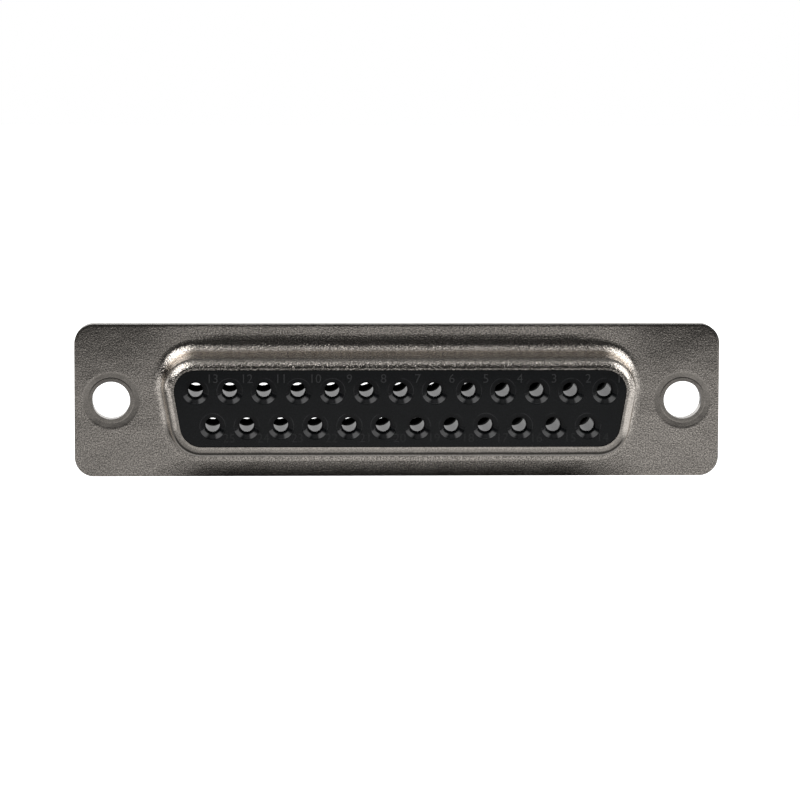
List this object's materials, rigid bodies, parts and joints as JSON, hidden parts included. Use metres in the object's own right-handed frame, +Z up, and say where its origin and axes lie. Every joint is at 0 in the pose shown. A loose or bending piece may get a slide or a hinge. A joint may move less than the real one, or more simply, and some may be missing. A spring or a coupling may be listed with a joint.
{
  "type": "crimp connector housing",
  "caption": "D-shaped socket connector housing for crimp contacts: nickel-plated steel shells with a flange and shroud, black insulators with empty contact cavities.",
  "frame": {"origin": "centre of the flange's front face, midway between the two mounting holes", "axes": "+X along the flange to the right as seen from the mating side, -Y out of the mating face, +Z up towards the longer contact row"},
  "size_m": [0.053, 0.0134, 0.0126],
  "materials": {
    "nickel_shell": "satin nickel plate",
    "black_insulator": "smooth moulded"
  },
  "bodies": {
    "root": {"front_shell": "nickel_shell", "rear_shell": "nickel_shell", "front_insulator": "black_insulator", "rear_insulator": "black_insulator"}
  },
  "joints": []
}
